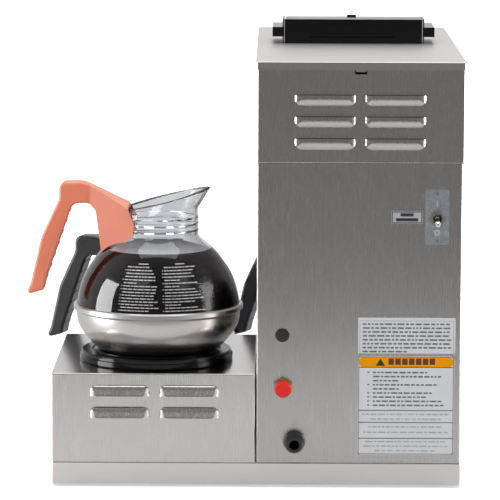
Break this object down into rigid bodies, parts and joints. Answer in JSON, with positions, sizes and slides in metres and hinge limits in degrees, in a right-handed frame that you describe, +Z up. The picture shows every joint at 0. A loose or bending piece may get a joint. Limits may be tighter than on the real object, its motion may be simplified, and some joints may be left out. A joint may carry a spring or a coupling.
{
  "type": "commercial coffee brewer",
  "caption": "Stainless steel plumbed coffee brewer with warmers on the base and on a raised side box, lift-off decanters with moulded handles and a slide-out brew funnel.",
  "frame": {"origin": "on the counter under the middle of the whole machine's bounding box, decanters and funnel handle included", "axes": "+Z up, front (brew funnel side) towards -Y, rear with the louvres and the water inlet towards +Y, raised warmer box on the +X side"},
  "size_m": [0.44, 0.535, 0.4538],
  "materials": {
    "stainless": "fine vertical brush lines, satin",
    "zinc_plate": "zinc plated, bluish",
    "pan_steel": "spun and polished",
    "clear_bowl": "clear moulded plastic",
    "orange_handle": "satin orange moulding",
    "black_handle": "satin black moulding",
    "black_gloss": "high gloss black",
    "black_plastic": "satin black",
    "rubber": "matt",
    "silicone": "translucent white",
    "brass": "machined",
    "red_plastic": "soft vinyl cap",
    "copper_tube": "bare copper",
    "valve_plastic": "white nylon",
    "heater_steel": "heat tinted",
    "thermostat_plastic": "phenolic",
    "board_green": "circuit board",
    "nickel": "nickel plated",
    "label_white": "printed film",
    "label_amber": "printed film",
    "start_green": "satin",
    "lamp_amber": "translucent amber"
  },
  "bodies": {
    "chassis": {"base_plate": "zinc_plate", "base_tray": "stainless", "basin": "black_plastic", "brew_warmer_plate": "black_gloss", "brew_warmer_ring": "black_gloss", "case_screws": "zinc_plate", "caution_label": "label_amber", "control_panel": "stainless", "cord_gland": "black_plastic", "funnel_rails": "zinc_plate", "hatch_frame": "black_gloss", "heater_label": "label_white", "hole_plug": "black_plastic", "hood_floor": "stainless", "hood_shell": "stainless", "inlet_fitting": "brass", "inlet_tube": "copper_tube", "inlet_valve": "valve_plastic", "left_warmer_plate": "black_gloss", "left_warmer_ring": "black_gloss", "notice_label": "label_white", "ready_lamp": "lamp_amber", "rear_warmer_plate": "black_gloss", "rear_warmer_ring": "black_gloss", "rubber_feet": "rubber", "side_box": "stainless", "spray_tube": "copper_tube", "sprayhead": "black_plastic", "switch_bank": "black_plastic", "tank": "stainless", "tank_gasket": "silicone", "tank_heater": "heater_steel", "tank_lid": "stainless", "thermostat": "thermostat_plastic", "timer_board": "board_green", "toggle_body": "black_plastic", "toggle_nut": "nickel", "toggle_plate": "zinc_plate", "top_lid": "stainless", "tower_front_panel": "stainless", "tower_shell": "stainless", "warmer_elements": "heater_steel"},
    "toggle": {"toggle_lever": "nickel"},
    "inlet_cap": {"inlet_cap": "red_plastic"},
    "hatch": {"hatch_lid": "black_gloss"},
    "funnel": {"brew_funnel": "stainless", "funnel_handle": "black_handle"},
    "start_button": {"start_button": "start_green"},
    "rocker_1": {"warmer_rocker_1": "black_plastic"},
    "rocker_2": {"warmer_rocker_2": "black_plastic"},
    "rocker_3": {"warmer_rocker_3": "black_plastic"},
    "rear_decanter": {"rear_decanter_bowl": "clear_bowl", "rear_decanter_handle": "orange_handle", "rear_decanter_pan": "pan_steel"},
    "left_decanter": {"left_decanter_bowl": "clear_bowl", "left_decanter_handle": "black_handle", "left_decanter_pan": "pan_steel"},
    "brew_decanter": {"brew_decanter_bowl": "clear_bowl", "brew_decanter_handle": "black_handle", "brew_decanter_pan": "pan_steel"}
  },
  "joints": [
    {"name": "toggle_tilt", "type": "hinge", "parent": "chassis", "child": "toggle", "pos_m": [-0.19187, 0.2479, 0.2727], "axis": [1, 0, 0], "range_deg": [0, 34]},
    {"name": "inlet_cap_pull", "type": "slide", "parent": "chassis", "child": "inlet_cap", "axis": [0, 1, 0], "range_m": [0, 0.03]},
    {"name": "hatch_hinge", "type": "hinge", "parent": "chassis", "child": "hatch", "pos_m": [-0.11302, 0.0043, 0.45], "axis": [-1, 0, 0], "range_deg": [0, 100]},
    {"name": "funnel_slide", "type": "slide", "parent": "chassis", "child": "funnel", "axis": [0, -1, 0], "range_m": [0, 0.2]},
    {"name": "start_press", "type": "slide", "parent": "chassis", "child": "start_button", "axis": [0, 1, 0], "range_m": [0, 0.003], "stiffness_N_per_m": 250, "springref_m": -0.002},
    {"name": "warmer_switch_1", "type": "hinge", "parent": "chassis", "child": "rocker_1", "pos_m": [-0.18497, -0.2125, 0.3786], "axis": [-1, 0, 0], "range_deg": [0, 18]},
    {"name": "warmer_switch_2", "type": "hinge", "parent": "chassis", "child": "rocker_2", "pos_m": [-0.15797, -0.2125, 0.3786], "axis": [-1, 0, 0], "range_deg": [0, 18]},
    {"name": "warmer_switch_3", "type": "hinge", "parent": "chassis", "child": "rocker_3", "pos_m": [-0.13097, -0.2125, 0.3786], "axis": [-1, 0, 0], "range_deg": [0, 18]},
    {"name": "rear_decanter_lift", "type": "slide", "parent": "chassis", "child": "rear_decanter", "axis": [0, 0, 1], "range_m": [0, 0.2]},
    {"name": "left_decanter_lift", "type": "slide", "parent": "chassis", "child": "left_decanter", "axis": [0.8, 0, 0.6], "range_m": [0, 0.25]},
    {"name": "brew_decanter_draw", "type": "slide", "parent": "chassis", "child": "brew_decanter", "axis": [0, -1, 0], "range_m": [0, 0.25]}
  ]
}
